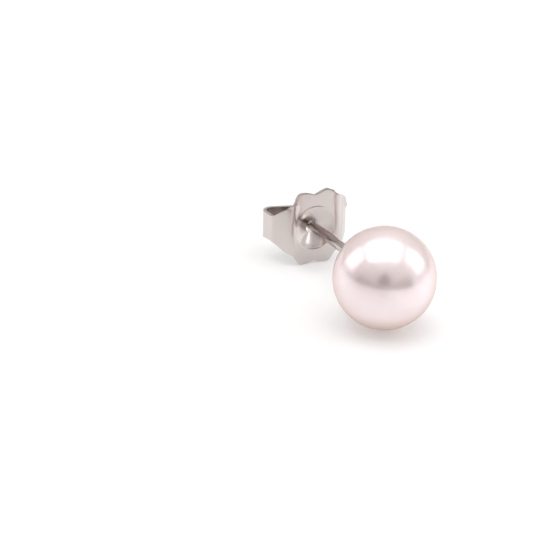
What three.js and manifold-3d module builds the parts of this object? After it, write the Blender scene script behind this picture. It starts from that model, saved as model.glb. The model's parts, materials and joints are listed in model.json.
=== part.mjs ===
// A pearl stud earring lying on a flat surface with its butterfly clutch on the post.
// Millimetres, +Z up. The post runs towards +Y and dips a little, because the stud rests on
// the pearl's underside and on the two lower lobes of the clutch. The origin is on the
// surface, under the middle of the box round the whole earring.
import * as THREE from 'three';
import { mergeVertices } from 'three/addons/utils/BufferGeometryUtils.js';
import Module from 'manifold-3d';

// Pearl
const PEARL_DIAMETER = 7.5;
const PEARL_BORE_DEPTH = 4.6;

// Post, with the peg and the cup soldered to it
const POST_DIAMETER = 0.76;
const POST_LENGTH = 10.5;
const PEG_DIAMETER = 0.8;
const PEG_LENGTH = 4.2;
const CUP_DIAMETER = 3.2;
const CUP_WALL = 0.3;
const CUP_BACK_DIAMETER = 2.2;
const SOLDER_FILLET = 0.12;
const TIP_LENGTH = 0.45;
const TIP_FLAT_DIAMETER = 0.3;
const TIP_SHOULDER = 0.3;
const GROOVE_FROM_TIP = 1.35;
const GROOVE_LENGTH = 0.7;
const GROOVE_DEPTH = 0.07;

// Butterfly clutch, stamped from one strip
const SHEET = 0.25;
const CLUTCH_FROM_PEARL = 7.4;
const PLATE_HALF_WIDTH = 1.5;
const PLATE_CROWN = 0.12;
const LOBE_SPACING = 1.98;
const LOBE_HEIGHT = 5.58;
const NOTCH_HEIGHT = 5.12;
const WING_HEIGHT = 4.05;
const CREASE_HEIGHT = 1.92;
const BAND_HEIGHT = 2.12;
const LEAD_IN_HEIGHT = 1.78;
const CURL_END_HEIGHT = 1.06;
const WING_LENGTH = 1.05;
const SIDE_LENGTH = 1.0;
const VALLEY_RADIUS = 0.45;
const BULGE_RADIUS = 0.5;
const CREASE_RADIUS = 0.25;
const FOLD_RADIUS = 0.55;
const CURL_RADIUS = 0.45;
const CURL_GRIP = 0.35;
const LEAD_IN_RADIUS = 0.4;
const DISH_DIAMETER = 3.28;
const DISH_DEPTH = 0.78;
const HOLE_DIAMETER = 1.12;

// Fits
const PEG_CLEARANCE = 0.05;
const SEAT_CLEARANCE = 0.05;
const GRIP_CLEARANCE = 0.05;

// Facets
const ROUND_SIDES = 48;
const PEARL_STEPS = 34;
const CUP_STEPS = 6;
const STRIP_ROWS = 8;
const PLATE_STEP = 0.12;
const FLAT_STEP = 0.5;
const BEND_STEP = 15;
const DISH_STEPS = 10;

const pearlRadius = PEARL_DIAMETER / 2;
const postRadius = POST_DIAMETER / 2;
const pegRadius = PEG_DIAMETER / 2;
const boreRadius = pegRadius + PEG_CLEARANCE;
const seatRadius = pearlRadius + SEAT_CLEARANCE;
const backRadius = seatRadius + CUP_WALL;
const plateDistance = pearlRadius + CLUTCH_FROM_PEARL;

const nacre = new THREE.MeshStandardMaterial({ color: 0xf3e6e2, roughness: 0.25, metalness: 0 });
const whiteGold = new THREE.MeshStandardMaterial({ color: 0xd8cdca, roughness: 0.22, metalness: 1 });

// A solid of revolution about Y from outline points that start and end on the axis.
function turned(points) {
  return new THREE.LatheGeometry(points, ROUND_SIDES);
}

function arcPoints(radius, from, to, steps) {
  const points = [];
  for (let i = 0; i <= steps; i += 1) {
    const angle = THREE.MathUtils.lerp(from, to, i / steps);
    points.push(new THREE.Vector2(radius * Math.sin(angle), radius * Math.cos(angle)));
  }
  return points;
}

// The pearl's drilled hole opens towards +Y, where the post leaves it.
function pearlGeometry() {
  const mouthAngle = Math.asin(boreRadius / pearlRadius);
  const far = arcPoints(pearlRadius, Math.PI, Math.PI / 2, PEARL_STEPS / 2);
  const near = arcPoints(pearlRadius, Math.PI / 2, mouthAngle, PEARL_STEPS / 2);
  far[0].x = 0;
  const boreEnd = pearlRadius - PEARL_BORE_DEPTH;
  return turned([
    ...far,
    ...near.slice(1),
    new THREE.Vector2(boreRadius, boreEnd),
    new THREE.Vector2(0, boreEnd),
  ]);
}

// The cup's seat follows the pearl, and its back ends in a small flat round the pin.
function postGeometry() {
  const rimAngle = Math.asin(CUP_DIAMETER / 2 / backRadius);
  const seat = arcPoints(seatRadius, Math.asin(pegRadius / seatRadius), rimAngle, CUP_STEPS);
  const back = arcPoints(backRadius, rimAngle, Math.asin(CUP_BACK_DIAMETER / 2 / backRadius), CUP_STEPS);
  const backFlat = back[back.length - 1].y;
  const tip = pearlRadius + POST_LENGTH;
  const groove = tip - GROOVE_FROM_TIP;
  const grooveRadius = postRadius - GROOVE_DEPTH;
  const shoulderRadius = THREE.MathUtils.lerp(postRadius, TIP_FLAT_DIAMETER / 2, TIP_SHOULDER);
  return turned([
    new THREE.Vector2(0, pearlRadius - PEG_LENGTH),
    new THREE.Vector2(pegRadius, pearlRadius - PEG_LENGTH),
    ...seat,
    ...back,
    new THREE.Vector2(postRadius + SOLDER_FILLET, backFlat),
    new THREE.Vector2(postRadius, backFlat + SOLDER_FILLET),
    new THREE.Vector2(postRadius, groove - GROOVE_LENGTH / 2),
    new THREE.Vector2(grooveRadius, groove - GROOVE_LENGTH / 4),
    new THREE.Vector2(grooveRadius, groove + GROOVE_LENGTH / 4),
    new THREE.Vector2(postRadius, groove + GROOVE_LENGTH / 2),
    new THREE.Vector2(postRadius, tip - TIP_LENGTH),
    new THREE.Vector2(shoulderRadius, tip - TIP_LENGTH * TIP_SHOULDER),
    new THREE.Vector2(TIP_FLAT_DIAMETER / 2, tip),
    new THREE.Vector2(0, tip),
  ]);
}

// The strip's middle line, seen from above: straight stretches and bends, from the hole outwards.
// Turns are in degrees, and a turn above zero bends the strip back, away from the pearl.
const stripRoute = (() => {
  const bends = [
    { name: 'plate', length: PLATE_HALF_WIDTH },
    { name: 'valley', turn: -20, radius: VALLEY_RADIUS },
    { name: 'wing bulge', turn: 72, radius: BULGE_RADIUS },
    { name: 'wing', length: WING_LENGTH },
    { name: 'crease', turn: 34, radius: CREASE_RADIUS },
    { name: 'side', length: SIDE_LENGTH },
    { name: 'fold', turn: 109, radius: FOLD_RADIUS },
    { name: 'rear', length: null },
    { name: 'curl', turn: 78, radius: CURL_RADIUS },
    { name: 'grip', length: CURL_GRIP },
    { name: 'lead-in', turn: 40, radius: LEAD_IN_RADIUS },
  ];
  // The rear wall is as long as it takes to bring the curl's face to the side of the post.
  const reach = (rearLength) => {
    let across = 0;
    let back = 0;
    let heading = 0;
    const spans = [];
    let travelled = 0;
    for (const bend of bends) {
      const turn = THREE.MathUtils.degToRad(bend.turn ?? 0);
      const length = bend.turn === undefined ? bend.length ?? rearLength : Math.abs(turn) * bend.radius;
      spans.push({ name: bend.name, start: travelled, length, turn, across, back, heading });
      if (turn === 0) {
        across += length * Math.cos(heading);
        back += length * Math.sin(heading);
      } else {
        const signed = bend.radius * Math.sign(turn);
        across += signed * (Math.sin(heading + turn) - Math.sin(heading));
        back += signed * (Math.cos(heading) - Math.cos(heading + turn));
        heading += turn;
      }
      travelled += length;
    }
    return { spans, total: travelled };
  };
  const trial = reach(0).spans;
  const curl = trial.find((span) => span.name === 'curl');
  const curlFace = curl.across + CURL_RADIUS * (-1 - Math.sin(curl.heading));
  const wanted = postRadius + GRIP_CLEARANCE + SHEET / 2;
  return reach((curlFace - wanted) / -Math.cos(curl.heading));
})();

// Where the middle line is, and which way it heads, at a distance along it from the hole.
function onRoute(distance) {
  const side = distance < 0 ? -1 : 1;
  const along = Math.min(Math.abs(distance), stripRoute.total);
  const span = stripRoute.spans.findLast((one) => one.start <= along + 1e-9);
  const into = along - span.start;
  const bent = span.length > 0 ? span.turn * into / span.length : 0;
  const heading = span.heading + bent;
  let { across, back } = span;
  if (span.turn === 0) {
    across += into * Math.cos(heading);
    back += into * Math.sin(heading);
  } else {
    const signed = span.length / span.turn;
    across += signed * (Math.sin(heading) - Math.sin(span.heading));
    back += signed * (Math.cos(span.heading) - Math.cos(heading));
  }
  return { across: side * across, back, heading: side * heading };
}

// Half the strip's height, with the two lobes, the wing that narrows to a band, and round ends.
function halfHeight(distance) {
  const along = Math.abs(distance);
  const start = (name) => stripRoute.spans.find((span) => span.name === name).start;
  const lobe = LOBE_SPACING / 2;
  const shoulder = start('wing bulge');
  if (along < shoulder) {
    const foot = along < lobe ? { at: 0, height: NOTCH_HEIGHT } : { at: shoulder, height: WING_HEIGHT };
    const share = (along - lobe) / (foot.at - lobe);
    return (LOBE_HEIGHT - (LOBE_HEIGHT - foot.height) * share * share) / 2;
  }
  const stations = [
    { at: shoulder, height: WING_HEIGHT },
    { at: start('side'), height: CREASE_HEIGHT },
    { at: start('rear'), height: BAND_HEIGHT },
    { at: start('grip'), height: BAND_HEIGHT },
    { at: start('lead-in'), height: LEAD_IN_HEIGHT },
    { at: stripRoute.total, height: CURL_END_HEIGHT },
  ];
  const next = Math.max(1, stations.findIndex((station) => station.at >= along - 1e-9));
  const a = stations[next - 1];
  const b = stations[next];
  return THREE.MathUtils.mapLinear(along, a.at, b.at, a.height, b.height) / 2;
}

// The dish is pressed back from the plate as a shallow round bowl. This is its outline at the
// plate's front or back face, closed by a flat lid in front of that face.
function bowl(faceFromMiddle, lid) {
  const rim = DISH_DIAMETER / 2;
  const face = plateDistance + faceFromMiddle;
  const points = [new THREE.Vector2(0, face + DISH_DEPTH)];
  for (let i = 1; i <= DISH_STEPS; i += 1) {
    const share = i / DISH_STEPS;
    points.push(new THREE.Vector2(rim * share, face + DISH_DEPTH * (1 - share * share)));
  }
  points.push(new THREE.Vector2(rim, face - lid), new THREE.Vector2(0, face - lid));
  return turned(points.reverse());
}

// The strip's columns: close together over the dish and in the bends, wider on the flats.
function stripColumns() {
  const columns = [0];
  for (const span of stripRoute.spans) {
    const bendSteps = THREE.MathUtils.radToDeg(Math.abs(span.turn)) / BEND_STEP;
    const step = span.name === 'plate' ? PLATE_STEP : FLAT_STEP;
    const steps = Math.ceil(span.turn === 0 ? span.length / step : bendSteps);
    for (let i = 1; i <= steps; i += 1) columns.push(span.start + span.length * i / steps);
  }
  return [...columns.slice(1).reverse().map((distance) => -distance), ...columns];
}

function clutchSheet() {
  const columns = stripColumns();
  const sheet = new THREE.BoxGeometry(1, 2, 1, columns.length - 1, STRIP_ROWS, 1);
  const position = sheet.getAttribute('position');
  for (let i = 0; i < position.count; i += 1) {
    const column = Math.round((position.getX(i) + 0.5) * (columns.length - 1));
    const distance = columns[column];
    const up = position.getY(i) * halfHeight(distance);
    const { across, back, heading } = onRoute(distance);
    const through = position.getZ(i) * SHEET;
    const crown = PLATE_CROWN * (2 * up / LOBE_HEIGHT) ** 2;
    position.setXYZ(
      i,
      across + through * Math.sin(heading),
      plateDistance + back + crown - through * Math.cos(heading),
      up,
    );
  }
  return sheet;
}

const wasm = await Module();
wasm.setup();

function toSolid(geometry) {
  const bare = geometry.clone();
  bare.deleteAttribute('normal');
  bare.deleteAttribute('uv');
  const merged = mergeVertices(bare, 1e-5);
  return new wasm.Manifold(new wasm.Mesh({
    numProp: 3,
    vertProperties: merged.getAttribute('position').array,
    triVerts: Uint32Array.from(merged.getIndex().array),
  }));
}

function toGeometry(solid) {
  const mesh = solid.getMesh();
  const geometry = new THREE.BufferGeometry();
  geometry.setAttribute('position', new THREE.BufferAttribute(mesh.vertProperties, 3));
  geometry.setIndex(new THREE.BufferAttribute(mesh.triVerts, 1));
  geometry.computeVertexNormals();
  return geometry;
}

function clutchGeometry() {
  const face = SHEET / 2;
  const holeLength = 2 * (DISH_DEPTH + SHEET);
  const hole = new THREE.CylinderGeometry(HOLE_DIAMETER / 2, HOLE_DIAMETER / 2, holeLength, ROUND_SIDES / 2);
  hole.translate(0, plateDistance + DISH_DEPTH, 0);
  const pressed = toSolid(clutchSheet()).add(toSolid(bowl(face, face)));
  return toGeometry(pressed.subtract(toSolid(bowl(-face, SHEET))).subtract(toSolid(hole)));
}

function piece(name, geometry, material) {
  const mesh = new THREE.Mesh(geometry, material);
  mesh.name = name;
  return mesh;
}

// How far the post dips, with the pearl and the clutch's lower lobes on the same surface.
function restingDip() {
  const along = plateDistance + PLATE_CROWN + SHEET / 2;
  const down = LOBE_HEIGHT / 2;
  return Math.asin(pearlRadius / Math.hypot(along, down)) - Math.atan2(down, along);
}

const earring = new THREE.Group();
const stud = new THREE.Group();
stud.rotation.x = -restingDip();
stud.add(piece('pearl', pearlGeometry(), nacre));
stud.add(piece('post', postGeometry(), whiteGold));
stud.add(piece('butterfly_clutch', clutchGeometry(), whiteGold));
earring.add(stud);

const bounds = new THREE.Box3().setFromObject(earring, true);
stud.position.y -= bounds.getCenter(new THREE.Vector3()).y;
stud.position.z -= bounds.min.z;

export default earring;
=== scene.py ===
"""A pearl stud earring with its butterfly clutch, lying on a white table under soft boxes."""

import json
import math

import bmesh
import bpy
from mathutils import Matrix, Vector


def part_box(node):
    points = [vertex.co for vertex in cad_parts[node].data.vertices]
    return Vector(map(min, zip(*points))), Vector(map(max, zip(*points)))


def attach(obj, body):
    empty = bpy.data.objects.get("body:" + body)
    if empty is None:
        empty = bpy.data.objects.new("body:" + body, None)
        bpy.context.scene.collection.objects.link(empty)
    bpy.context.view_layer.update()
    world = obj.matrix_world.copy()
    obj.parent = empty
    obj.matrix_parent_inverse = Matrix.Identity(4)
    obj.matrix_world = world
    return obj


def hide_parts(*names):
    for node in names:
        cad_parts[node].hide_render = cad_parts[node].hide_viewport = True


bl_info = {
    "name": "Pearl Stud Earring",
    "version": (1, 0, 0),
    "blender": (4, 5, 0),
    "location": "3D View > Sidebar > Earring",
    "description": "Makes a round pearl on a cup post, with a stamped butterfly clutch",
    "category": "Add Mesh",
}

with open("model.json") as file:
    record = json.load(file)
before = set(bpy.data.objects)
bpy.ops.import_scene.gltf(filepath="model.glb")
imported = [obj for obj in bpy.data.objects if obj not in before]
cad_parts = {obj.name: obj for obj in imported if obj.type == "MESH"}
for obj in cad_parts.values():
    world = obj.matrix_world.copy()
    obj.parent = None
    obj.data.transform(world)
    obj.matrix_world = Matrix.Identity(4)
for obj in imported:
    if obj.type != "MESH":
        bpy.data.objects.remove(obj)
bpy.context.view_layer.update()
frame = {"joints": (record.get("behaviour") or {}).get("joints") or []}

MM = 0.001
FULL_TURN = 2 * math.pi

# How finely the clutch's flat blank is divided: the rings round its hole and the steps along a wing.
RING_POINTS = 160
FUNNEL_RINGS, FUNNEL_RING = 12, 0.07 * MM
RIM_RINGS, RIM_RING = 9, 0.04 * MM
OUTER_RINGS = 8
WING_STEP = 0.085 * MM

# The stud's own frame: its origin is the pearl's centre and its +Y runs along the post.
pearl_low, pearl_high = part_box("pearl")
pearl_centre = (pearl_low + pearl_high) / 2
post_axis = Vector(frame["joints"][0]["axis"]).normalized()
dip = math.atan2(-post_axis.z, post_axis.y)
stud_matrix = Matrix.Translation(pearl_centre) @ Matrix.Rotation(-dip, 4, "X")


# Small helpers

def linear(hex_colour):
    """An sRGB hex colour as the linear red, green, blue and alpha that Blender's sockets take."""
    channels = [int(hex_colour[i:i + 2], 16) / 255 for i in (1, 3, 5)]
    return tuple(c / 12.92 if c <= 0.04045 else ((c + 0.055) / 1.055) ** 2.4 for c in channels) + (1.0,)


def length(name, description, default):
    """A size in metres, shown in Blender's own length unit."""
    return bpy.props.FloatProperty(
        name=name, description=description, default=default, min=0.0, precision=5, unit="LENGTH")


def colour(name, description, hex_colour):
    """A colour that a user can change, with its default given as sRGB hex."""
    return bpy.props.FloatVectorProperty(
        name=name, description=description, size=4, subtype="COLOR", min=0.0, max=1.0,
        default=linear(hex_colour))


def number(name, description, default):
    """A plain number from 0 to 1."""
    return bpy.props.FloatProperty(name=name, description=description, default=default, min=0.0, max=1.0)


def add_node(tree, kind, settings=None, inputs=None, links=None):
    """Adds one shader node, sets its properties and sockets, and links its inputs."""
    node = tree.nodes.new(kind)
    for name, value in (settings or {}).items():
        setattr(node, name, value)
    for name, value in (inputs or {}).items():
        node.inputs[name].default_value = value
    for name, socket in (links or {}).items():
        tree.links.new(socket, node.inputs[name])
    return node


def new_material(name):
    """An empty node material and its node tree."""
    material = bpy.data.materials.new(name)
    material.use_nodes = True
    material.node_tree.nodes.clear()
    return material, material.node_tree


def finish_piece(name, mesh, material, body, node):
    """Puts a finished mesh in the scene in place of its CAD node, riding on its body."""
    data = bpy.data.meshes.new(name)
    bmesh.ops.transform(mesh, matrix=stud_matrix, verts=mesh.verts)
    bmesh.ops.recalc_face_normals(mesh, faces=mesh.faces)
    for face in mesh.faces:
        face.smooth = True
    mesh.to_mesh(data)
    mesh.free()
    piece = bpy.data.objects.new(name, data)
    bpy.context.scene.collection.objects.link(piece)
    data.materials.append(material)
    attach(piece, body)
    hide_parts(node)
    return piece


def finish_stage(name, mesh, material):
    """Puts a finished mesh of the stage in the scene, where only the render sees it."""
    data = bpy.data.meshes.new(name)
    mesh.to_mesh(data)
    mesh.free()
    sheet = bpy.data.objects.new(name, data)
    bpy.context.scene.collection.objects.link(sheet)
    data.materials.append(material)


def spun(outline, steps):
    """A closed solid of revolution about the post's axis, from (radius, along) points."""
    mesh = bmesh.new()
    points = [mesh.verts.new((radius, along, 0.0)) for radius, along in outline]
    edges = [mesh.edges.new(pair) for pair in zip(points, points[1:])]
    bmesh.ops.spin(
        mesh, geom=points + edges, cent=(0, 0, 0), axis=(0, 1, 0), dvec=(0, 0, 0),
        angle=FULL_TURN, steps=steps, use_merge=True)
    bmesh.ops.remove_doubles(mesh, verts=mesh.verts, dist=1e-7)
    return mesh


def arc(centre, radius, start, end, steps):
    """Points on an arc in the (radius, along) plane. Angles are in degrees from the post's axis."""
    points = []
    for i in range(steps + 1):
        angle = math.radians(start + (end - start) * i / steps)
        points.append((centre[0] + radius * math.sin(angle), centre[1] + radius * math.cos(angle)))
    return points


# Settings

class PearlSettings(bpy.types.PropertyGroup):
    diameter: length("Diameter", "The pearl, across", pearl_high.x - pearl_low.x)
    bore: length("Bore", "The drilled hole, across", 0.9 * MM)
    bore_depth: length("Bore depth", "How deep the pearl is drilled", 4.6 * MM)
    mouth_round: length("Mouth rounding", "The worn edge of the drilled hole", 0.06 * MM)
    body: colour("Body", "The nacre's own milky colour", "#f0e4e4")
    cream: colour("Cream", "The warmer colour that the body drifts to", "#ecdbd4")
    # The peach on the pearl's lower side is painted warm bounce light from the table, not the nacre's
    # colour.
    painted_bounce_light: colour("Peach", "The colour of the side that lies on the table", "#ffe2cf")
    overtone: colour("Overtone", "The pinkish colour of its lustre", "#fff2f8")
    edge: colour("Edge", "The colour of its lustre at the rim", "#cbb8ab")
    lustre: number("Lustre", "How much of the light the nacre's layers throw back", 0.5)
    blur: number("Blur", "How soft the reflections in the nacre are", 0.24)


class PostSettings(bpy.types.PropertyGroup):
    diameter: length("Diameter", "The pin, across", 0.76 * MM)
    pin_length: length("Pin length", "From the pearl's surface to the tip", 10.5 * MM)
    peg: length("Peg", "The peg in the pearl, across", 0.8 * MM)
    peg_length: length("Peg length", "How far the peg reaches into the pearl", 4.2 * MM)
    cup: length("Cup", "The cup behind the pearl, across", 3.2 * MM)
    cup_wall: length("Cup wall", "The cup's thickness", 0.3 * MM)
    cup_back: length("Cup back", "The flat behind the cup, across", 2.2 * MM)
    seat_gap: length("Seat gap", "The glue line under the cup", 0.05 * MM)
    fillet: length("Fillet", "The solder round the foot of the pin", 0.12 * MM)
    tip_length: length("Tip", "The rounded end of the pin", 0.45 * MM)
    groove_at: length("Groove place", "From the tip to the middle of the groove", 1.35 * MM)
    groove_length: length("Groove length", "The friction groove, end to end", 0.7 * MM)
    groove_depth: length("Groove depth", "How deep the groove is", 0.07 * MM)


class ClutchSettings(bpy.types.PropertyGroup):
    sheet: length("Sheet", "The thickness of the sheet metal", 0.25 * MM)
    from_pearl: length("Place", "From the pearl's surface to the plate", 7.4 * MM)
    plate_half: length("Plate half width", "From the hole to the valleys", 1.5 * MM)
    crown: length("Crown", "How far the upper lobes bend back", 0.1 * MM)
    lower_crown: length("Lower crown", "How far the lower lobes bend back", 0.2 * MM)
    lobe_spacing: length("Lobe spacing", "Between the tops of two lobes", 1.98 * MM)
    lobe_height: length("Lobe height", "Over the lobes, top to bottom", 5.58 * MM)
    notch_height: length("Notch height", "Between the two notches", 5.12 * MM)
    wing_height: length("Wing height", "The wings where they leave the plate", 4.05 * MM)
    crease_height: length("Crease height", "The wings at their sharp bend", 1.92 * MM)
    band_height: length("Band height", "The bands that run behind", 2.12 * MM)
    wing_lift: length("Wing lift", "How much higher the right wing's upper edge stands", 0.45 * MM)
    lobe_lift: length("Lobe lift", "How much fuller the upper lobes are", 0.13 * MM)
    flare: length("Flare", "How far the right wing's upper corner leans out", 0.2 * MM)
    bend_bow: length("Bend bow", "How far the bends beside the plate curve round the dish", 0.25 * MM)
    wing: length("Wing", "The straight part of a wing", 1.05 * MM)
    side: length("Side", "The straight part of a side", 1.0 * MM)
    valley_radius: length("Valley radius", "The bend between plate and wing", 0.45 * MM)
    bulge_radius: length("Bulge radius", "The bend over a wing's front", 0.5 * MM)
    crease_radius: length("Crease radius", "The sharp bend at a wing's end", 0.25 * MM)
    fold_radius: length("Fold radius", "The round bend into the back", 0.55 * MM)
    curl_radius: length("Curl radius", "The curl beside the post", 0.45 * MM)
    grip: length("Grip", "The flat that grips the post", 0.35 * MM)
    lead_in_radius: length("Lead-in radius", "The flared end of a curl", 0.4 * MM)
    grip_gap: length("Grip gap", "Between a curl and the post", 0.05 * MM)
    dish: length("Dish", "The pressed dish, across", 3.28 * MM)
    dish_depth: length("Dish depth", "How deep the dish is at the hole", 0.56 * MM)
    dish_rim: length("Dish rim", "The gently sloping part round the dish", 0.4 * MM)
    dish_lip: length("Dish lip", "How high the lip round the dish stands", 0.017 * MM)
    dish_drop: length("Dish drop", "How far the dish is pressed below the middle of the hole", 0.06 * MM)
    hole: length("Hole", "The hole for the post, across", 1.12 * MM)
    hole_drop: length("Hole drop", "How far the hole sits below the middle of the post", 0.07 * MM)
    edge_round: length("Edge rounding", "The tumbled edges of the sheet", 0.1 * MM)


class MetalSettings(bpy.types.PropertyGroup):
    tint: colour("Tint", "White gold's warm grey", "#cfc7c4")
    wire_gloss: number("Wire roughness", "How blurred the reflections in the post are", 0.08)
    sheet_gloss: number("Sheet roughness", "How blurred the reflections in the clutch are", 0.19)
    mark_spacing: length("Mark spacing", "Between the fine lines that drawing and rolling leave", 0.09 * MM)


class StageSettings(bpy.types.PropertyGroup):
    elevation: bpy.props.FloatProperty(
        name="Elevation", description="The camera's height above the table",
        default=math.radians(25.46), subtype="ANGLE")
    azimuth: bpy.props.FloatProperty(
        name="Azimuth", description="The camera's place round the earring",
        default=math.radians(-28.97), subtype="ANGLE")
    roll: bpy.props.FloatProperty(
        name="Roll", description="How far the camera leans", default=math.radians(4.06), subtype="ANGLE")
    distance: length("Distance", "From the camera to the pearl", 350 * MM)
    pearl_pixels: bpy.props.FloatProperty(
        name="Pearl size", description="The pearl's width in the picture, in pixels", default=104.8)
    table: colour("Table", "The white table", "#d4d4d4")
    # Glow and side glow are the table's own emission: painted light, not a lamp.
    glow: number("Glow", "The light that comes through the table from below", 0.26)
    side_glow: number("Side glow", "How much more of that light comes through on the right", 0.15)


# Materials

def nacre_material(settings):
    """Nacre, polished by the oyster: thin layers give a soft mirror over a pinkish milky body."""
    material, tree = new_material("nacre_half_drilled_pearl")
    place = add_node(tree, "ShaderNodeTexCoord")
    # Growth leaves waves about a millimetre long that bend the reflections a little.
    waves = add_node(
        tree, "ShaderNodeTexNoise", inputs={"Scale": 1 / (1.4 * MM), "Detail": 2.0, "Roughness": 0.4},
        links={"Vector": place.outputs["Object"]})
    bump = add_node(
        tree, "ShaderNodeBump", inputs={"Strength": 0.25, "Distance": 0.01 * MM},
        links={"Height": waves.outputs["Fac"]})
    # The body colour drifts between the milky white and a warmer cream.
    drift = add_node(
        tree, "ShaderNodeTexNoise", inputs={"Scale": 1 / (3.0 * MM), "Detail": 1.0},
        links={"Vector": place.outputs["Object"]})
    milk = add_node(
        tree, "ShaderNodeMix", settings={"data_type": "RGBA"},
        inputs={"A": settings.body, "B": settings.cream}, links={"Factor": drift.outputs["Fac"]})
    # The side that lies on the table is painted lighter and warmer peach: painted bounce light from the
    # table.
    parts = add_node(tree, "ShaderNodeSeparateXYZ", links={"Vector": place.outputs["Object"]})
    painted_bounce_mask = add_node(
        tree, "ShaderNodeMapRange",
        inputs={"From Min": 2.6 * MM, "From Max": 0.4 * MM, "To Min": 0.0, "To Max": 1.0},
        links={"Value": parts.outputs["Z"]})
    milk = add_node(
        tree, "ShaderNodeMix", settings={"data_type": "RGBA"},
        inputs={"B": settings.painted_bounce_light},
        links={"Factor": painted_bounce_mask.outputs["Result"], "A": milk.outputs["Result"]})
    body = add_node(
        tree, "ShaderNodeBsdfPrincipled",
        inputs={
            "Roughness": 0.35,
            "IOR": 1.53,
            "Subsurface Weight": 0.7,
            "Subsurface Radius": (1.0, 0.8, 0.7),
            "Subsurface Scale": 1.0 * MM,
            "Coat Weight": 0.4,
            "Coat Roughness": 0.06,
            "Coat IOR": 1.53,
        },
        links={"Base Color": milk.outputs["Result"], "Normal": bump.outputs["Normal"]})
    # The lustre is what the stacked layers under the surface throw back, so its edge is soft.
    layers = add_node(
        tree, "ShaderNodeBsdfMetallic", settings={"fresnel_type": "F82"},
        inputs={"Base Color": settings.overtone, "Edge Tint": settings.edge, "Roughness": settings.blur},
        links={"Normal": bump.outputs["Normal"]})
    both = add_node(tree, "ShaderNodeMixShader", inputs={"Fac": settings.lustre})
    tree.links.new(body.outputs["BSDF"], both.inputs[1])
    tree.links.new(layers.outputs["BSDF"], both.inputs[2])
    add_node(tree, "ShaderNodeOutputMaterial", links={"Surface": both.outputs["Shader"]})
    return material


def white_gold_material(settings, name, gloss, stretch):
    """White gold, drawn or rolled and then tumbled: a warm grey mirror with faint parallel marks."""
    material, tree = new_material(name)
    place = add_node(tree, "ShaderNodeTexCoord")
    along = add_node(
        tree, "ShaderNodeMapping", inputs={"Rotation": (dip, 0.0, 0.0), "Scale": stretch},
        links={"Vector": place.outputs["Object"]})
    marks = add_node(
        tree, "ShaderNodeTexNoise",
        inputs={"Scale": 1 / settings.mark_spacing, "Detail": 3.0, "Roughness": 0.6},
        links={"Vector": along.outputs["Vector"]})
    bump = add_node(
        tree, "ShaderNodeBump", inputs={"Strength": 0.35, "Distance": 0.004 * MM},
        links={"Height": marks.outputs["Fac"]})
    # Handling leaves patches that are a little duller than the rest.
    patches = add_node(
        tree, "ShaderNodeTexNoise", inputs={"Scale": 1 / (1.2 * MM), "Detail": 2.0},
        links={"Vector": place.outputs["Object"]})
    dull = add_node(
        tree, "ShaderNodeMapRange",
        inputs={"To Min": gloss * 0.8, "To Max": gloss * 1.3},
        links={"Value": patches.outputs["Fac"]})
    surface = add_node(
        tree, "ShaderNodeBsdfPrincipled", inputs={"Base Color": settings.tint, "Metallic": 1.0},
        links={"Roughness": dull.outputs["Result"], "Normal": bump.outputs["Normal"]})
    add_node(tree, "ShaderNodeOutputMaterial", links={"Surface": surface.outputs["BSDF"]})
    return material


def table_material(settings):
    """Satin white acrylic that glows a little itself: painted light that keeps its shadows light."""
    material, tree = new_material("satin_white_acrylic")
    place = add_node(tree, "ShaderNodeTexCoord")
    grain = add_node(
        tree, "ShaderNodeTexNoise", inputs={"Scale": 1 / (0.5 * MM), "Detail": 2.0},
        links={"Vector": place.outputs["Object"]})
    bump = add_node(
        tree, "ShaderNodeBump", inputs={"Strength": 0.05, "Distance": 0.01 * MM},
        links={"Height": grain.outputs["Fac"]})
    # No lamp stands below: the table's glow, stronger to the right, is painted light that the metal mirrors.
    across = add_node(
        tree, "ShaderNodeMapping", inputs={"Rotation": (0.0, 0.0, -settings.azimuth)},
        links={"Vector": place.outputs["Object"]})
    parts = add_node(tree, "ShaderNodeSeparateXYZ", links={"Vector": across.outputs["Vector"]})
    glow = add_node(
        tree, "ShaderNodeMapRange",
        inputs={
            "From Min": 4 * MM,
            "From Max": 13 * MM,
            "To Min": settings.glow,
            "To Max": settings.glow + settings.side_glow,
        },
        links={"Value": parts.outputs["X"]})
    surface = add_node(
        tree, "ShaderNodeBsdfPrincipled",
        inputs={
            "Base Color": settings.table,
            "Roughness": 0.3,
            "Specular IOR Level": 0.5,
            "Emission Color": linear("#ffffff"),
        },
        links={"Emission Strength": glow.outputs["Result"], "Normal": bump.outputs["Normal"]})
    add_node(tree, "ShaderNodeOutputMaterial", links={"Surface": surface.outputs["BSDF"]})
    return material


def backdrop_material(name, painted_shade_tone, high_tone):
    """Backdrop paper, painted darker below and lighter above: painted shade of the dim room, a soft band for
    the pearl to reflect.
    """
    material, tree = new_material(name + "_paper")
    place = add_node(tree, "ShaderNodeTexCoord")
    parts = add_node(tree, "ShaderNodeSeparateXYZ", links={"Vector": place.outputs["Object"]})
    height = add_node(
        tree, "ShaderNodeMapRange", inputs={"From Min": 0.1, "From Max": 0.55},
        links={"Value": parts.outputs["Z"]})
    tone = add_node(
        tree, "ShaderNodeMix", settings={"data_type": "RGBA"},
        inputs={"A": linear(painted_shade_tone), "B": linear(high_tone)}, links={"Factor": height.outputs["Result"]})
    surface = add_node(
        tree, "ShaderNodeBsdfPrincipled", inputs={"Roughness": 0.95, "Specular IOR Level": 0.1},
        links={"Base Color": tone.outputs["Result"]})
    add_node(tree, "ShaderNodeOutputMaterial", links={"Surface": surface.outputs["BSDF"]})
    return material


def lens_material():
    """Black flocked card, which throws almost no light back, as a lens looks from the front."""
    material, tree = new_material("black_flocked_card")
    surface = add_node(
        tree, "ShaderNodeBsdfPrincipled",
        inputs={"Base Color": linear("#0c0c0c"), "Roughness": 0.95, "Specular IOR Level": 0.1})
    add_node(tree, "ShaderNodeOutputMaterial", links={"Surface": surface.outputs["BSDF"]})
    return material


# Pieces

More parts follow.
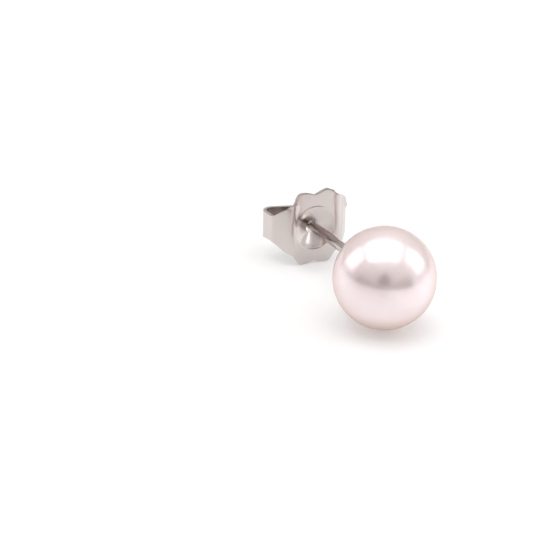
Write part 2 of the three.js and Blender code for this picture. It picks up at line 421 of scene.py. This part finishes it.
class EARRING_OT_pearl(bpy.types.Operator):
    """Makes the half-drilled pearl"""
    bl_idname = "earring.pearl"
    bl_label = "Pearl"

    def execute(self, context):
        size = context.scene.earring_pearl
        radius = size.diameter / 2
        bore = size.bore / 2
        mouth = size.mouth_round
        edge = math.degrees(math.asin((bore + mouth) / radius))
        top = radius * math.cos(math.radians(edge))
        outline = arc((0, 0), radius, 180, edge, 120)
        outline[0] = (0.0, -radius)
        outline += arc((bore + mouth, top - mouth), mouth, 0, -90, 5)[1:]
        outline += [(bore, radius - size.bore_depth), (0.0, radius - size.bore_depth)]
        mesh = spun(outline, 160)
        finish_piece("pearl_nacre", mesh, nacre_material(size), "stud", "pearl")
        return {"FINISHED"}


class EARRING_OT_post(bpy.types.Operator):
    """Makes the peg, the cup and the pin, soldered into one piece"""
    bl_idname = "earring.post"
    bl_label = "Post"

    def execute(self, context):
        size = context.scene.earring_post
        pearl_radius = context.scene.earring_pearl.diameter / 2
        pin = size.diameter / 2
        seat = pearl_radius + size.seat_gap
        back = seat + size.cup_wall
        peg_end = pearl_radius - size.peg_length
        rim = math.degrees(math.asin(size.cup / 2 / back))
        flat = math.degrees(math.asin(size.cup_back / 2 / back))
        flat_along = back * math.cos(math.radians(flat))
        tip = pearl_radius + size.pin_length
        groove = tip - size.groove_at
        chamfer = size.peg * 0.15
        outline = [(0.0, peg_end), (size.peg / 2 - chamfer, peg_end), (size.peg / 2, peg_end + chamfer)]
        outline += arc((0, 0), seat, math.degrees(math.asin(size.peg / 2 / seat)), rim, 16)
        outline += arc((0, 0), back, rim, flat, 10)
        outline += arc((pin + size.fillet, flat_along + size.fillet), size.fillet, 180, 270, 8)
        # The friction groove is a shallow waist, rolled into the pin.
        for i in range(17):
            share = i / 16
            depth = size.groove_depth * (1 - math.cos(FULL_TURN * share)) / 2
            outline.append((pin - depth, groove + size.groove_length * (share - 0.5)))
        # The tip is half an ellipse, turned on the end of the pin.
        for i in range(13):
            angle = math.pi / 2 * i / 12
            outline.append((pin * math.cos(angle), tip - size.tip_length * (1 - math.sin(angle))))
        outline[-1] = (0.0, tip)
        mesh = spun(outline, 96)
        finish = context.scene.earring_metal
        metal = white_gold_material(finish, "white_gold_drawn_wire", finish.wire_gloss, (1.0, 0.04, 1.0))
        finish_piece("post_soldered", mesh, metal, "stud", "post")
        return {"FINISHED"}


class StripRoute:
    """The clutch strip's middle line seen from above, from the hole outwards to the end of a curl."""

    def __init__(self, size, post_radius):
        bends = [
            ("plate", None, size.plate_half),
            ("valley", -20, size.valley_radius),
            ("bulge", 72, size.bulge_radius),
            ("wing", None, size.wing),
            ("crease", 34, size.crease_radius),
            ("side", None, size.side),
            ("fold", 109, size.fold_radius),
            ("rear", None, 0.0),
            ("curl", 78, size.curl_radius),
            ("grip", None, size.grip),
            ("lead-in", 40, size.lead_in_radius),
        ]
        self.lay_out(bends)
        # The rear wall is as long as it takes to bring the curl's face to the side of the post.
        curl = self.spans["curl"]
        face = curl["across"] - size.curl_radius * (1 + math.sin(curl["heading"]))
        wanted = post_radius + size.grip_gap + size.sheet / 2
        rear = (face - wanted) / -math.cos(curl["heading"])
        bends[7] = ("rear", None, rear)
        self.lay_out(bends)

    def lay_out(self, bends):
        """Adds up where each straight and bend begins, and which way it heads."""
        self.spans = {}
        start = across = back = heading = 0.0
        for name, degrees, measure in bends:
            turn = math.radians(degrees or 0)
            run = measure * abs(turn) if degrees else measure
            span = {
                "start": start, "run": run, "turn": turn,
                "across": across, "back": back, "heading": heading}
            self.spans[name] = span
            across, back, heading = self.within(span, run)
            start += run
        self.total = start
        # Up to this line the blank is made of rings round the hole, and past it of steps along a wing.
        self.wing_line = self.start("bulge") + 0.34 * MM

    @staticmethod
    def within(span, into):
        """The place and heading at a distance into one span."""
        if span["turn"] == 0:
            return (
                span["across"] + into * math.cos(span["heading"]),
                span["back"] + into * math.sin(span["heading"]),
                span["heading"],
            )
        radius = span["run"] / span["turn"]
        heading = span["heading"] + span["turn"] * into / span["run"]
        return (
            span["across"] + radius * (math.sin(heading) - math.sin(span["heading"])),
            span["back"] + radius * (math.cos(span["heading"]) - math.cos(heading)),
            heading,
        )

    def at(self, distance):
        """The place on the middle line, and its heading, at a distance from the hole."""
        along = min(abs(distance), self.total)
        span = [s for s in self.spans.values() if s["start"] <= along + 1e-12][-1]
        across, back, heading = self.within(span, along - span["start"])
        side = -1 if distance < 0 else 1
        return side * across, back, side * heading

    def start(self, name):
        return self.spans[name]["start"]


def blend(value, low, high):
    """A smooth step from 0 at low to 1 at high."""
    share = min(1.0, max(0.0, (value - low) / (high - low)))
    return share * share * (3 - 2 * share)


def hump(value, rise, full, fade, gone):
    """A smooth hump: it grows from rise to full, and sinks again from fade to gone."""
    return blend(value, rise, full) * (1 - blend(value, fade, gone))


def half_height(size, route, distance):
    """Half the flat strip's height at a distance from the hole."""
    along = abs(distance)
    lobe = size.lobe_spacing / 2
    foot = route.start("bulge")
    if along < foot:
        end, height = (0.0, size.notch_height) if along < lobe else (foot, size.wing_height)
        share = (along - lobe) / (end - lobe)
        return (size.lobe_height - (size.lobe_height - height) * share * share) / 2
    stations = [
        (foot, size.wing_height),
        (route.start("side"), size.crease_height),
        (route.start("rear"), size.band_height),
        (route.start("grip"), size.band_height),
    ]
    for (low, a), (high, b) in zip(stations, stations[1:]):
        if along <= high:
            return (a + (b - a) * (along - low) / (high - low)) / 2
    # The curl's end is cut round.
    share = (along - route.start("grip")) / (route.total - route.start("grip"))
    return size.band_height / 2 * (0.45 + 0.55 * math.sqrt(max(0.0, 1 - share ** 3)))


def flat_blank(size, route):
    """The clutch as it is stamped: a flat blank in X and Z with the hole, the lobes and the wings."""
    split = route.wing_line
    mesh = bmesh.new()
    turn_flat = Matrix.Rotation(math.pi / 2, 4, "X")
    bmesh.ops.create_circle(
        mesh, cap_ends=False, radius=size.hole / 2, segments=RING_POINTS, matrix=turn_flat)
    ring = list(mesh.edges)

    def outline_point(direction):
        """Where a ray from the hole's centre meets the plate's outline or the line where a wing starts."""
        low, high = 0.0, size.lobe_height
        for _ in range(40):
            reach = (low + high) / 2
            across, up = abs(direction.x) * reach, abs(direction.z) * reach
            inside = across < split and up < half_height(size, route, across)
            low, high = (reach, high) if inside else (low, reach)
        return direction * low

    radii = [size.hole / 2 + FUNNEL_RING * i for i in range(1, FUNNEL_RINGS + 1)]
    radii += [radii[-1] + RIM_RING * i for i in range(1, RIM_RINGS + 1)]
    for radius in radii:
        made = bmesh.ops.extrude_edge_only(mesh, edges=ring)["geom"]
        ring = [part for part in made if isinstance(part, bmesh.types.BMEdge)]
        for vert in [part for part in made if isinstance(part, bmesh.types.BMVert)]:
            vert.co = vert.co.normalized() * radius
    last = radii[-1]
    for step in range(1, OUTER_RINGS + 1):
        made = bmesh.ops.extrude_edge_only(mesh, edges=ring)["geom"]
        ring = [part for part in made if isinstance(part, bmesh.types.BMEdge)]
        for vert in [part for part in made if isinstance(part, bmesh.types.BMVert)]:
            way = vert.co.normalized()
            edge = outline_point(way)
            vert.co = way * last + (edge - way * last) * (step / OUTER_RINGS)
    # The corner between outline and wing line falls on the nearest vertex.
    outer = list({vert for edge in ring for vert in edge.verts})
    corner_up = half_height(size, route, split)
    for side in (-1, 1):
        for up in (-1, 1):
            corner = Vector((side * split, 0, up * corner_up))
            min(outer, key=lambda vert: (vert.co - corner).length).co = corner
    # Each wing is drawn out from its line, a short step at a time.
    for side in (-1, 1):
        line = [
            edge for edge in ring
            if all(abs(vert.co.x - side * split) < 1e-7 for vert in edge.verts)]
        pieces = math.ceil((route.total - split) / WING_STEP)
        for step in range(1, pieces + 1):
            before = split + (route.total - split) * (step - 1) / pieces
            after = split + (route.total - split) * step / pieces
            taper = half_height(size, route, after) / half_height(size, route, before)
            made = bmesh.ops.extrude_edge_only(mesh, edges=line)["geom"]
            line = [part for part in made if isinstance(part, bmesh.types.BMEdge)]
            for vert in [part for part in made if isinstance(part, bmesh.types.BMVert)]:
                vert.co = (side * after, 0, vert.co.z * taper)
    return mesh


def dish_depth(size, distance, up):
    """How deep the dish is at a place on the plate: a crisp rim, and a steeper funnel to the hole."""
    even_share = 0.7
    lip_width = 0.09 * MM
    rim, hole = size.dish / 2, size.hole / 2
    reach = math.hypot(distance, up)
    # Pressing the dish raises a low lip above and below it, where the plate isn't bent.
    lip = size.dish_lip * math.exp(-((reach - rim) / lip_width) ** 2) * (up / reach) ** 2
    if reach >= rim:
        return -lip
    share = (rim - reach) / (rim - hole)
    gentle = size.dish_rim / (rim - hole)
    run = share * share / (2 * gentle) if share < gentle else share - gentle / 2
    # Most of the depth comes from an even slope that makes the rim crisp.
    depth = even_share * share + (1 - even_share) * run / (1 - gentle / 2)
    return size.dish_depth * depth - lip


def lift(size, route, distance, up):
    """How much higher than in the flat pattern a lobe or wing stands where this clutch was bent."""
    along = abs(distance)
    if up < 0:
        return 0.0
    if distance < 0:
        # The left lobe is full on its outer side.
        return size.lobe_lift * hump(along, 1.0 * MM, 1.5 * MM, 1.55 * MM, 1.95 * MM)
    rise = size.wing_lift * hump(along, 1.2 * MM, 1.75 * MM, route.start("wing"), route.start("side"))
    return rise + size.lobe_lift * hump(along, 0.2 * MM, 1.2 * MM, 1.5 * MM, 1.9 * MM)


def press(size, route, plate_along, mesh):
    """Presses the dish and bends the flat blank into its real shape."""
    wing_half = size.wing_height / 2
    for vert in mesh.verts:
        distance, up = vert.co.x, vert.co.z
        along, height = abs(distance), abs(up)
        share = height / half_height(size, route, distance)
        up += lift(size, route, distance, up) * share * share
        across = route.at(distance)[0]
        # The bends beside the plate bow round the dish, the left one most, and the lobes stay flat.
        sharp = 1.0 if distance < 0 else 0.3
        bow = sharp * size.bend_bow * min(height / wing_half, 1.0) ** 2
        bow *= hump(along, 1.0 * MM, 1.5 * MM, route.start("wing"), route.start("side"))
        reach = along + bow
        flat = sharp * blend(height, wing_half * 0.85, wing_half * 1.05)
        flat *= 1 - blend(along, route.start("bulge"), route.wing_line)
        reach += flat * (min(reach, size.plate_half) - reach)
        back = route.at(reach)[1]
        bend = size.crown if up > 0 else size.lower_crown
        back += bend * (2 * up / size.lobe_height) ** 2
        back += dish_depth(size, distance, up + size.dish_drop)
        # The right wing's upper corner flares out.
        if distance > 0 and up > 0:
            flare = hump(
                along, route.start("bulge"), route.start("wing"), route.start("crease"), route.start("fold"))
            across += size.flare * flare * min(share, 1.0) ** 10
        # The clutch hangs on the post, so its hole sits a little low.
        up -= size.hole_drop * (1 - blend(math.hypot(distance, up), size.hole / 2, size.dish / 2))
        vert.co = (across, plate_along + back, up)


class EARRING_OT_clutch(bpy.types.Operator):
    """Makes the butterfly clutch from a flat blank: stamped, dished, bent and curled"""
    bl_idname = "earring.clutch"
    bl_label = "Butterfly clutch"

    def execute(self, context):
        size = context.scene.earring_clutch
        plate_along = context.scene.earring_pearl.diameter / 2 + size.from_pearl
        route = StripRoute(size, context.scene.earring_post.diameter / 2)
        mesh = flat_blank(size, route)
        press(size, route, plate_along, mesh)
        finish = context.scene.earring_metal
        metal = white_gold_material(finish, "white_gold_rolled_sheet", finish.sheet_gloss, (0.12, 1.0, 1.0))
        piece = finish_piece(
            "butterfly_clutch_sheet", mesh, metal, "clutch", "butterfly_clutch")
        wall = piece.modifiers.new("sheet_thickness", "SOLIDIFY")
        wall.thickness = size.sheet
        wall.offset = 0.0
        wall.use_even_offset = True
        edges = piece.modifiers.new("tumbled_edges", "BEVEL")
        edges.width = size.edge_round
        edges.segments = 3
        edges.limit_method = "ANGLE"
        edges.angle_limit = math.radians(50)
        return {"FINISHED"}


class EARRING_OT_stage(bpy.types.Operator):
    """Makes the table, the soft boxes, the backdrops and the camera"""
    bl_idname = "earring.stage"
    bl_label = "Stage"

    def execute(self, context):
        scene = context.scene
        stage = scene.earring_stage
        self.table(stage)
        self.lights(scene, stage)
        self.backdrops(stage)
        self.lens(stage)
        self.camera(scene, stage)
        return {"FINISHED"}

    def table(self, stage):
        """A table top, large enough to fill every view."""
        mesh = bmesh.new()
        bmesh.ops.create_grid(mesh, x_segments=1, y_segments=1, size=3.0)
        finish_stage("table", mesh, table_material(stage))

    def lights(self, scene, stage):
        """Three soft boxes in a white room. Directions are the camera's right, away and up."""
        turn = Matrix.Rotation(stage.azimuth, 4, "Z")
        boxes = [
            ("soft_box_above", (-0.095, 0.0, 1.0), 0.5, 0.455, 0.6, 1.75),
            ("soft_box_left", (-0.88, 0.12, 0.47), 0.6, 0.37, 0.36, 1.0),
            ("soft_box_right", (0.82, 0.14, 0.55), 0.6, 0.37, 0.38, 1.3),
        ]
        for name, way, away, width, height, radiance in boxes:
            light = bpy.data.lights.new(name, "AREA")
            light.shape = "RECTANGLE"
            light.size = width
            light.size_y = height
            light.energy = radiance * math.pi * width * height
            place = turn @ (Vector(way).normalized() * away)
            lamp = bpy.data.objects.new(name, light)
            lamp.location = place
            lamp.rotation_euler = place.to_track_quat("Z", "Y").to_euler()
            scene.collection.objects.link(lamp)
        world = bpy.data.worlds.new("white_room")
        world.use_nodes = True
        background = world.node_tree.nodes["Background"]
        background.inputs["Color"].default_value = linear("#ebeaea")
        background.inputs["Strength"].default_value = 1.0
        scene.world = world

    def backdrops(self, stage):
        """Sheets of paper round the earring, graded in painted shade for the dim room. Angles are in
        degrees, to the camera's right.
        """
        # The dark lower tones are painted shade, standing in for the dim room round the camera.
        sheets = [
            ("backdrop_far_left", -96, 30, "#d2cdcb", "#f2f0ef"),
            ("backdrop_left", -66, 24, "#4f4b4a", "#f2f0ef"),
            ("backdrop_front", -42, 84, "#989290", "#f2f0ef"),
            ("backdrop_right", 42, 24, "#4f4b4a", "#f2f0ef"),
            ("backdrop_rear", 115, 130, "#e3e0de", "#eceae8"),
        ]
        reach, top, row, column = 1.2, 48, 4, 6
        for name, first, width, painted_shade_tone, high_tone in sheets:
            mesh = bmesh.new()
            away = Vector((math.sin(math.radians(first)), -math.cos(math.radians(first)), 0.0))
            points = []
            for rise in range(0, top + 1, row):
                angle = math.radians(rise)
                place = away * math.cos(angle) + Vector((0, 0, math.sin(angle)))
                points.append(mesh.verts.new(place * reach))
            edges = [mesh.edges.new(pair) for pair in zip(points, points[1:])]
            bmesh.ops.spin(
                mesh, geom=points + edges, cent=(0, 0, 0), axis=(0, 0, 1), dvec=(0, 0, 0),
                angle=math.radians(width), steps=width // column)
            bmesh.ops.transform(mesh, matrix=Matrix.Rotation(stage.azimuth, 4, "Z"), verts=mesh.verts)
            finish_stage(name, mesh, backdrop_material(name, painted_shade_tone, high_tone))

    def lens(self, stage):
        """The lens is a dark disc in front of the backdrop, just behind the camera."""
        distance, radius, rise = 0.4, 0.095, math.radians(21)
        mesh = bmesh.new()
        facing = Vector((0, -math.cos(rise), math.sin(rise)))
        matrix = Matrix.Rotation(stage.azimuth, 4, "Z") @ Matrix.Translation(facing * distance)
        matrix = matrix @ facing.to_track_quat("Z", "Y").to_matrix().to_4x4()
        bmesh.ops.create_circle(mesh, cap_ends=True, radius=radius, segments=48, matrix=matrix)
        finish_stage("lens_hood", mesh, lens_material())

    def camera(self, scene, stage):
        """The pearl's centre falls at (384.7, 277.85) of a picture 533 pixels each way."""
        picture = 533.0
        pearl_pixel = Vector((384.7, 277.85))
        rise, around = stage.elevation, stage.azimuth
        back = Vector((
            math.sin(around) * math.cos(rise), -math.cos(around) * math.cos(rise), math.sin(rise)))
        right = Vector((math.cos(around), math.sin(around), 0.0))
        up = back.cross(right)
        lean, sway = math.cos(stage.roll), math.sin(stage.roll)
        up, right = up * lean - right * sway, right * lean + up * sway
        pearl_radius = scene.earring_pearl.diameter / 2
        focal_pixels = stage.pearl_pixels / 2 * stage.distance / pearl_radius
        off_x = (pearl_pixel.x - picture / 2) / focal_pixels
        off_y = (picture / 2 - pearl_pixel.y) / focal_pixels
        forward = (-back - right * off_x - up * off_y).normalized()
        right = (right - forward * right.dot(forward)).normalized()
        up = right.cross(forward)
        lens = bpy.data.cameras.new("camera")
        lens.lens = focal_pixels / picture * lens.sensor_width
        lens.clip_start = 0.01
        lens.clip_end = 10.0
        camera = bpy.data.objects.new("camera", lens)
        place = Matrix((right, up, -forward)).transposed().to_4x4()
        place.translation = pearl_centre + back * stage.distance
        camera.matrix_world = place
        scene.collection.objects.link(camera)
        scene.camera = camera
        scene.view_settings.view_transform = "Standard"
        scene.view_settings.look = "None"


class EARRING_PT_panel(bpy.types.Panel):
    """Lists the pieces and their sizes"""
    bl_idname = "EARRING_PT_panel"
    bl_label = "Pearl Stud Earring"
    bl_space_type = "VIEW_3D"
    bl_region_type = "UI"
    bl_category = "Earring"

    def draw(self, context):
        for operator, groups in PIECES:
            box = self.layout.box()
            box.operator(operator.bl_idname)
            for group in groups:
                settings = getattr(context.scene, group)
                for name in settings.__annotations__:
                    box.prop(settings, name)


PIECES = [
    (EARRING_OT_pearl, ["earring_pearl"]),
    (EARRING_OT_post, ["earring_post", "earring_metal"]),
    (EARRING_OT_clutch, ["earring_clutch"]),
    (EARRING_OT_stage, ["earring_stage"]),
]
GROUPS = {
    "earring_pearl": PearlSettings,
    "earring_post": PostSettings,
    "earring_clutch": ClutchSettings,
    "earring_metal": MetalSettings,
    "earring_stage": StageSettings,
}


def register():
    for name, group in GROUPS.items():
        bpy.utils.register_class(group)
        setattr(bpy.types.Scene, name, bpy.props.PointerProperty(type=group))
    for operator, _ in PIECES:
        bpy.utils.register_class(operator)
    bpy.utils.register_class(EARRING_PT_panel)


def unregister():
    bpy.utils.unregister_class(EARRING_PT_panel)
    for operator, _ in reversed(PIECES):
        bpy.utils.unregister_class(operator)
    for name, group in GROUPS.items():
        delattr(bpy.types.Scene, name)
        bpy.utils.unregister_class(group)


def main():
    register()
    bpy.ops.earring.stage()
    bpy.ops.earring.pearl()
    bpy.ops.earring.post()
    bpy.ops.earring.clutch()


if __name__ == "__main__":
    main()
